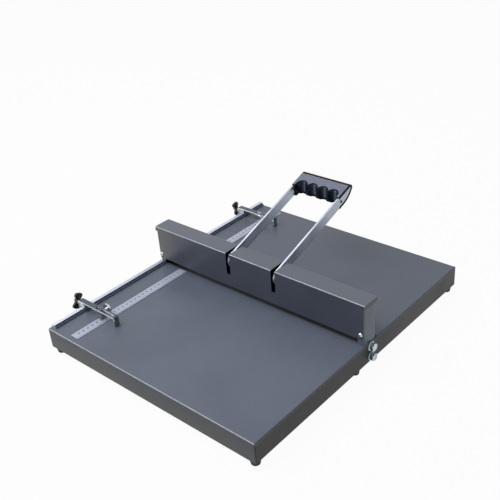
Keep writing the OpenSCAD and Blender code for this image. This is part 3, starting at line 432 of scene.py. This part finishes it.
footRubber = {
    "dark": paint(18, 18, 19), "light": paint(28, 28, 29), "edgeColour": paint(60, 60, 60),
    "edge": 0.8, "edgeShare": 0.4, "pebble": 1200.0, "cloud": 70.0, "speck": 0.2,
    "rough": (0.62, 0.8), "bump": 0.5, "depth": 0.08}
rulerInk = {
    "dark": paint(34, 36, 46), "light": paint(48, 50, 60), "edgeColour": paint(90, 92, 104),
    "edge": 0.1, "edgeShare": 0.2, "pebble": 2600.0, "cloud": 120.0, "speck": 0.3,
    "rough": (0.5, 0.6), "bump": 0.1, "depth": 0.01}

armSteel = {
    # near-white painted highlight on the edges
    "dark": paint(158, 165, 178), "light": paint(176, 183, 196), "edgeColour": paint(240, 242, 247),
    # painted highlight on the upward faces above 123 mm, weaker towards the top
    "split": "up", "splitColour": paint(214, 218, 228), "splitMetallic": 1.0,
    "splitAbove": 123.0, "splitEnds": (140.0, 178.0), "stretch": (2600, 26, 2600),
    "edge": 0.5, "edgeShare": 0.6, "rough": (0.32, 0.46), "bump": 0.2, "depth": 0.02}
groundSteel = {
    "dark": paint(140, 143, 150), "light": paint(168, 171, 178), "edgeColour": paint(215, 217, 222),
    "edge": 0.6, "edgeShare": 0.7, "stretch": (24, 2400, 2400), "rough": (0.26, 0.38),
    "bump": 0.22, "depth": 0.02}
# black steel, dark also to paint the shade in the throat under the cover
blackSteelAndShade = {
    "dark": paint(15, 17, 22), "light": paint(24, 26, 32), "edgeColour": paint(96, 97, 102),
    "edge": 0.6, "edgeShare": 0.5, "stretch": (24, 2400, 2400), "rough": (0.42, 0.55),
    "metallic": 0.4, "bump": 0.15, "depth": 0.02}
# bright steel painted dark: painted shade under the cover
barSteelPaintedShade = {
    "dark": paint(70, 73, 80), "light": paint(90, 93, 100), "edgeColour": paint(190, 192, 198),
    "edge": 0.7, "edgeShare": 0.6, "stretch": (18, 1500, 1500), "rough": (0.36, 0.5),
    "bump": 0.25, "depth": 0.03}
zincPlate = {
    "dark": paint(128, 136, 142), "light": paint(214, 219, 223), "edgeColour": paint(240, 243, 246),
    "edge": 0.4, "edgeShare": 0.5, "stretch": (300, 300, 300), "rough": (0.08, 0.2),
    "bump": 0.12, "depth": 0.02}
springWire = {
    "dark": paint(112, 114, 120), "light": paint(142, 144, 150), "edgeColour": paint(170, 170, 176),
    "edge": 0.3, "edgeShare": 0.2, "stretch": (700, 700, 1800), "rough": (0.26, 0.4),
    "bump": 0.15, "depth": 0.02}
bushBronze = {
    "dark": paint(168, 120, 72), "light": paint(196, 146, 94), "edgeColour": paint(222, 180, 128),
    "edge": 0.4, "edgeShare": 0.5, "stretch": (300, 2200, 2200), "rough": (0.34, 0.5),
    "bump": 0.3, "depth": 0.03}
railAluminium = {
    "dark": paint(198, 201, 215), "light": paint(214, 217, 230), "edgeColour": paint(244, 244, 250),
    # dark past the rib's inner corner: the ledge's own dark tone, and painted shade on the rib's inner wall
    "split": "inside", "splitAt": 11.8, "splitColour": paint(104, 113, 133),
    "edge": 0.5, "edgeShare": 0.7, "stretch": (1900, 12, 1900), "rough": (0.36, 0.5),
    "metallic": 0.8, "bump": 0.16, "depth": 0.02}
rulerAluminium = {
    "dark": paint(168, 172, 190), "light": paint(186, 190, 207), "edgeColour": paint(226, 228, 238),
    "edge": 0.35, "edgeShare": 0.6, "stretch": (1700, 16, 1700), "rough": (0.4, 0.52),
    "metallic": 0.25, "bump": 0.14, "depth": 0.02}

nodeLooks = {
    "base_pan": (coated, tableCoat), "beam_cover": (coated, coverCoat),
    "left_bracket": (coated, bracketCoat), "right_bracket": (coated, bracketCoat),
    "front_stop_arm": (coated, stopCoat), "rear_stop_arm": (coated, stopCoat),
    "front_screw_block": (coated, blockCoat), "rear_screw_block": (coated, blockCoat),
    "grip_pad": (coated, padGrain), "grip_shell": (coated, shellBlack),
    "finger_grip": (coated, fingerBlack), "rubber_feet": (coated, footRubber),
    "front_wing_screw": (coated, knobBlack), "rear_wing_screw": (coated, knobBlack),
    "left_arm": (bareMetal, armSteel), "right_arm": (bareMetal, armSteel),
    "anvil_bar": (bareMetal, blackSteelAndShade), "crease_blade": (bareMetal, barSteelPaintedShade),
    "cam_pads": (bareMetal, groundSteel), "pivot_shaft": (bareMetal, groundSteel),
    "left_cam": (bareMetal, groundSteel), "right_cam": (bareMetal, groundSteel),
    "press_bar": (bareMetal, blackSteelAndShade), "blade_screws": (bareMetal, barSteelPaintedShade),
    "pad_screws": (bareMetal, barSteelPaintedShade), "shaft_pins": (bareMetal, groundSteel),
    "left_spring": (bareMetal, springWire), "right_spring": (bareMetal, springWire),
    "shaft_bushes": (bareMetal, bushBronze),
    "front_rail": (bareMetal, railAluminium), "rear_rail": (bareMetal, railAluminium),
    "front_ruler": (bareMetal, rulerAluminium), "rear_ruler": (bareMetal, rulerAluminium),
    "front_clamp_jaw": (bareMetal, zincPlate), "rear_clamp_jaw": (bareMetal, zincPlate),
    "front_adjust_screw": (bareMetal, zincPlate), "rear_adjust_screw": (bareMetal, zincPlate),
    "bracket_bolts": (bareMetal, zincPlate), "bracket_washers": (bareMetal, zincPlate),
    "lock_washers": (bareMetal, zincPlate), "cover_screws": (bareMetal, zincPlate),
    "foot_screws": (bareMetal, zincPlate), "foot_nuts": (bareMetal, zincPlate),
    "rail_screws": (bareMetal, zincPlate), "grip_screws": (bareMetal, blackSteelAndShade),
}

nodeMaterials = {}
for node, (finish, look) in nodeLooks.items():
    turn = handleTurn if nodeBody[node] == "handle" else 0.0
    nodeMaterials[node] = finish(node + "Finish", node, look, turn)
    mesh = frame["nodes"][node].data
    if not mesh.materials:
        mesh.materials.append(nodeMaterials[node])
    for index in range(len(mesh.materials)):
        mesh.materials[index] = nodeMaterials[node]
print("materials on", len(nodeMaterials), "nodes")


# Pieces with finer shapes than their solids

copying = {"join": 0.002, "flat": 0.4}  # in mm between two corners and in degrees between two faces


def addPiece(name, bm, body, material, instead=()):
    mesh = bpy.data.meshes.new(name)
    bm.to_mesh(mesh)
    bm.free()
    mesh.materials.append(material)
    piece = bpy.data.objects.new(name, mesh)
    bpy.context.scene.collection.objects.link(piece)
    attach(piece, body)
    if instead:
        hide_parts(*instead)
    return piece


def mergedCopy(node):  # the node's mesh with its loose triangles joined and its flats made whole
    bm = bmesh.new()
    bm.from_mesh(frame["nodes"][node].data)
    bmesh.ops.remove_doubles(bm, verts=bm.verts, dist=copying["join"] * mm)
    bmesh.ops.dissolve_limit(bm, angle_limit=math.radians(copying["flat"]), verts=bm.verts, edges=bm.edges)
    for face in bm.faces:
        face.material_index = 0
    return bm


def refinedPiece(node, ending):  # stands in for its node, with the node's body and finish
    return addPiece(node + ending, mergedCopy(node), nodeBody[node], nodeMaterials[node],
                    (node,))


def roundEdges(piece, width, segments):
    bevel = piece.modifiers.new("edges", "BEVEL")
    bevel.width = width * mm
    bevel.segments = segments
    bevel.limit_method = "ANGLE"
    return bevel


edgeWidths = {"left_arm": 0.7, "right_arm": 0.7, "left_bracket": 0.4, "right_bracket": 0.4,
              "front_stop_arm": 0.5, "rear_stop_arm": 0.5, "front_rail": 0.35, "rear_rail": 0.35,
              "grip_shell": 0.55, "grip_pad": 0.25, "bracket_bolts": 0.3, "bracket_washers": 0.25,
              "front_adjust_screw": 0.35, "rear_adjust_screw": 0.35, "anvil_bar": 0.3}
rounding = {"segments": 2, "sharpFrom": 32, "roundFrom": 38}  # in degrees between two faces


def roundedCopy(node, width):
    piece = refinedPiece(node, "_edged")
    piece.data.shade_smooth()
    piece.data.set_sharp_from_angle(angle=math.radians(rounding["sharpFrom"]))
    bevel = roundEdges(piece, width, rounding["segments"])
    bevel.angle_limit = math.radians(rounding["roundFrom"])
    bevel.harden_normals = True


for node, width in edgeWidths.items():
    roundedCopy(node, width)
print("edges rounded on", len(edgeWidths), "nodes")


# Grip trim, in mm from the shaft: along the arms first, then square to them. The band bends round two
# centres: 90 degrees and bellyTurn more round the nose, and the rest of 180 round the belly.
gripTrim = {"top": 17.2, "start": 186.0, "lean": 5.5, "nose": (228.0, 11.2), "belly": (199.66, 42.2),
            "bellyTurn": 47.57, "noseSteps": 10, "bellySteps": 12, "width": 4.0, "side": 54.25,
            "proud": 0.5, "sink": 0.6, "edge": 0.15, "edgeSegments": 2, "join": 0.001}
handlePlace = Matrix.Translation(shaftCentre) @ Matrix.Rotation(-handleTurn, 4, "X")


def only(kind, geometry):
    return [part for part in geometry if isinstance(part, kind)]


def gripRim(name, side):  # the black band's end, seen beside the arm
    trim = gripTrim
    vert, edge = bmesh.types.BMVert, bmesh.types.BMEdge
    bm = bmesh.new()
    inner, outer = trim["side"] - trim["sink"], trim["side"] + trim["proud"]
    topStart = trim["start"] + trim["lean"]
    ends = [bm.verts.new((inner, topStart, trim["top"] - depth)) for depth in (0.0, trim["width"])]
    end = ends + [bm.edges.new(ends)]
    spans = (("slide", (0, trim["nose"][0] - topStart, 0)),
             ("turn", trim["nose"], 90 + trim["bellyTurn"], trim["noseSteps"]),
             ("turn", trim["belly"], 90 - trim["bellyTurn"], trim["bellySteps"]),
             ("slide", (0, trim["start"] - trim["belly"][0], 0)))
    for motion, place, *bend in spans:
        if motion == "slide":
            end = only((vert, edge), bmesh.ops.extrude_edge_only(bm, edges=only(edge, end))["geom"])
            bmesh.ops.translate(bm, vec=place, verts=only(vert, end))
        else:
            angle, steps = bend
            spun = bmesh.ops.spin(bm, geom=end, cent=(0, *place), axis=(1, 0, 0),
                                  angle=math.radians(-angle), steps=steps)
            end = only((vert, edge), spun["geom_last"])
    bmesh.ops.remove_doubles(bm, verts=bm.verts, dist=trim["join"])
    skin = bmesh.ops.extrude_face_region(bm, geom=bm.faces[:])["geom"]
    bmesh.ops.translate(bm, vec=(outer - inner, 0, 0), verts=only(vert, skin))
    bmesh.ops.scale(bm, vec=(side * mm, mm, mm), verts=bm.verts)
    bmesh.ops.transform(bm, matrix=handlePlace, verts=bm.verts)
    bmesh.ops.recalc_face_normals(bm, faces=bm.faces)
    rim = addPiece(name, bm, "handle", nodeMaterials["grip_shell"])
    roundEdges(rim, trim["edge"], trim["edgeSegments"])


gripRim("leftGripRim", -1)
gripRim("rightGripRim", 1)
print("grip trimmed")


# Moulded pieces: the solid's outline, gone over with a fine skin and smoothed
mouldings = {"finger_grip": {"skin": 0.6, "passes": 3},
             "front_wing_screw": {"skin": 0.4, "passes": 10},
             "rear_wing_screw": {"skin": 0.4, "passes": 10}}


def mouldedCopy(node, skin, passes):
    piece = refinedPiece(node, "_moulded")
    remesh = piece.modifiers.new("skin", "REMESH")
    remesh.mode = "VOXEL"
    remesh.voxel_size = skin * mm
    remesh.use_smooth_shade = True
    smooth = piece.modifiers.new("round", "SMOOTH")
    smooth.factor = 0.5
    smooth.iterations = passes


for node, shape in mouldings.items():
    mouldedCopy(node, **shape)
print("moulded pieces made")


def springCopy(node):
    piece = refinedPiece(node, "_coils")
    piece.data.shade_smooth()
    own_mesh(piece)


for node in ("left_spring", "right_spring"):
    springCopy(node)
print("springs made")


# Ruler marks: millimetres at the paper's side, numbers in centimetres from the crease
rulerMarks = {"ink": 0.03, "line": 0.22, "short": 2.6, "middle": 4.2, "long": 5.6, "middleEach": 5,
              "longEach": 10, "figure": 4.6, "bold": 0.2, "figureIn": 7.4, "edgeIn": 0.6,
              "endGap": 1, "figureGap": 2}
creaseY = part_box("crease_blade")[0].y / 2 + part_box("crease_blade")[1].y / 2


def stampBox(bm, centre, size):
    place = Matrix.Translation(centre) @ Matrix.Diagonal((*size, 1))
    bmesh.ops.create_cube(bm, size=1.0, matrix=place)


def stampFigure(bm, text, centre, height):
    curve = bpy.data.curves.new("figure", "FONT")
    curve.body = text
    curve.size = height * mm
    curve.align_x = "CENTER"
    curve.align_y = "CENTER"
    curve.extrude = rulerMarks["ink"] * mm / 2
    curve.offset = rulerMarks["bold"] * mm
    holder = bpy.data.objects.new("figure", curve)
    bpy.context.scene.collection.objects.link(holder)
    mesh = bpy.data.meshes.new_from_object(holder.evaluated_get(bpy.context.evaluated_depsgraph_get()))
    mesh.transform(Matrix.Translation(centre))
    bm.from_mesh(mesh)
    bpy.data.objects.remove(holder)
    bpy.data.meshes.remove(mesh)


def lineLength(step):
    if step % rulerMarks["longEach"] == 0:
        return rulerMarks["long"] * mm
    return rulerMarks["middle" if step % rulerMarks["middleEach"] == 0 else "short"] * mm


def markRuler(node, direction):  # direction 1 counts to the rear, -1 to the front
    low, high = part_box(node)
    near, far = (low.y, high.y) if direction > 0 else (high.y, low.y)
    ink = rulerMarks["ink"] * mm
    inkZ = high.z + ink / 2
    edgeX = high.x - rulerMarks["edgeIn"] * mm
    first = math.ceil(abs(near - creaseY) / mm) + rulerMarks["endGap"]
    last = int(abs(far - creaseY) / mm) - rulerMarks["endGap"]
    bm = bmesh.new()
    for step in range(first, last + 1):
        length = lineLength(step)
        y = creaseY + direction * step * mm
        stampBox(bm, (edgeX - length / 2, y, inkZ), (length, rulerMarks["line"] * mm, ink))
        clear = first + rulerMarks["figureGap"] < step < last - rulerMarks["figureGap"]
        if step % rulerMarks["longEach"] == 0 and clear:
            centre = (low.x + rulerMarks["figureIn"] * mm, y, inkZ)
            stampFigure(bm, str(step // rulerMarks["longEach"]), centre, rulerMarks["figure"])
    addPiece(node + "_marks", bm, "base", inkFinish)


inkFinish = coated("rulerInkFinish", "front_ruler", rulerInk)
markRuler("front_ruler", -1)
markRuler("rear_ruler", 1)
print("rulers marked")


# Studio: one pale floor, soft lamps and the photograph's camera
studio = {"floor": 14.0, "floorColour": paint(212, 207, 198), "floorRough": 0.9,
          "glow": 0.96, "glowInset": 0.02,  # the floor shows white, though not under the table
          "world": paint(234, 238, 245),
          "leftAt": -0.6, "leftLight": 0.36, "rightAt": 0.8, "rightLight": 0.12}
lamps = {"keyLamp": {"place": (-0.85, -0.65, 2.1), "target": (0, -0.05, 0.05), "size": 2.0, "power": 43,
                     "colour": (0.93, 0.97, 1.0)},
         "foldLamp": {"place": (-1.5, -1.25, 1.6), "target": (0, 0, 0.05), "size": 0.7, "power": 3.5},
         "rearLamp": {"place": (-0.6, 2.0, 1.5), "target": (0, 0, 0.05), "size": 1.8, "power": 1.5}}
photoView = {"azimuth": 43.439, "elevation": 29.918, "roll": -4.916, "lens": 56.902, "sensor": 36.0,
             "target": (-162.65, 167.8, 13.0), "distance": 1652.12, "near": 0.05, "far": 50}


def softLamp(name, place, target, size, power, colour=(1, 1, 1)):
    data = bpy.data.lights.new(name, "AREA")
    data.shape = "SQUARE"
    data.size = size
    data.energy = power
    data.color = colour
    lamp = bpy.data.objects.new(name, data)
    lamp.location = place
    lamp.rotation_mode = "QUATERNION"
    lamp.rotation_quaternion = (Vector(target) - Vector(place)).to_track_quat("-Z", "Y")
    bpy.context.scene.collection.objects.link(lamp)


def cameraRayShare(tree, share):
    rays = addNode(tree, "LightPath").outputs
    seen = calc(tree, "MAXIMUM", rays["Is Camera Ray"], rays["Is Glossy Ray"])
    seen = calc(tree, "MAXIMUM", seen, rays["Is Transmission Ray"])
    return calc(tree, "MULTIPLY", seen, share)


def beyondTable(tree):  # 0 on the floor under the table, 1 around it
    low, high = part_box("base_pan")
    half = (high - low) / 2
    away = addNode(tree, "TexCoord").outputs["Object"]
    away = addNode(tree, "SeparateXYZ", {0: vectorCalc(tree, "ABSOLUTE", away)}).outputs
    return calc(tree, "MAXIMUM", calc(tree, "GREATER_THAN", away["X"], half.x - studio["glowInset"]),
                calc(tree, "GREATER_THAN", away["Y"], half.y - studio["glowInset"]))


def makeFloor():
    bm = bmesh.new()
    bmesh.ops.create_grid(bm, x_segments=2, y_segments=2, size=studio["floor"] / 2)
    mesh = bpy.data.meshes.new("studioFloor")
    bm.to_mesh(mesh)
    bm.free()
    floor = bpy.data.objects.new("studioFloor", mesh)
    bpy.context.scene.collection.objects.link(floor)
    material, tree, shader = startMaterial("floorPaper", {})
    shader.inputs["Base Color"].default_value = studio["floorColour"]
    shader.inputs["Roughness"].default_value = studio["floorRough"]
    glow = addNode(tree, "Emission", {"Color": (1, 1, 1, 1), "Strength": 1.0})
    share = calc(tree, "MULTIPLY", cameraRayShare(tree, studio["glow"]), beyondTable(tree))
    mix = addNode(tree, "MixShader", {0: share, 1: shader.outputs[0], 2: glow.outputs[0]})
    tree.links.new(mix.outputs[0], tree.nodes["Material Output"].inputs["Surface"])
    mesh.materials.append(material)


def makeWorld():
    world = bpy.data.worlds.new("studioAir")
    world.use_nodes = True
    tree = world.node_tree
    plain = tree.nodes["Background"]
    plain.inputs["Color"].default_value = studio["world"]
    side = takeAxis(tree, addNode(tree, "TexCoord").outputs["Generated"], "X")
    darker = smoothRange(tree, side, studio["leftAt"], studio["rightAt"],
                         studio["leftLight"], studio["rightLight"])
    tree.links.new(darker, plain.inputs["Strength"])
    white = addNode(tree, "Background", {"Color": (1, 1, 1, 1), "Strength": 1.0})
    seen = cameraRayShare(tree, 1.0)
    mix = addNode(tree, "MixShader", {0: seen, 1: plain.outputs[0], 2: white.outputs[0]})
    tree.links.new(mix.outputs[0], tree.nodes["World Output"].inputs["Surface"])
    bpy.context.scene.world = world


def makeCamera():
    data = bpy.data.cameras.new("photoCamera")
    data.lens = photoView["lens"]
    data.sensor_width = photoView["sensor"]
    data.clip_start = photoView["near"]
    data.clip_end = photoView["far"]
    camera = bpy.data.objects.new("photoCamera", data)
    around, up = math.radians(photoView["azimuth"]), math.radians(photoView["elevation"])
    back = Vector((math.sin(around) * math.cos(up), -math.cos(around) * math.cos(up), math.sin(up)))
    camera.location = (Vector(photoView["target"]) + back * photoView["distance"]) * mm
    camera.rotation_mode = "QUATERNION"
    tilt = Quaternion((0, 0, 1), math.radians(photoView["roll"]))
    camera.rotation_quaternion = (-back).to_track_quat("-Z", "Y") @ tilt
    bpy.context.scene.collection.objects.link(camera)
    bpy.context.scene.camera = camera


makeFloor()
makeWorld()
for name, lamp in lamps.items():
    softLamp(name, **lamp)
makeCamera()
bpy.context.scene.view_settings.view_transform = "Standard"
print("studio ready")

bpy.context.view_layer.update()
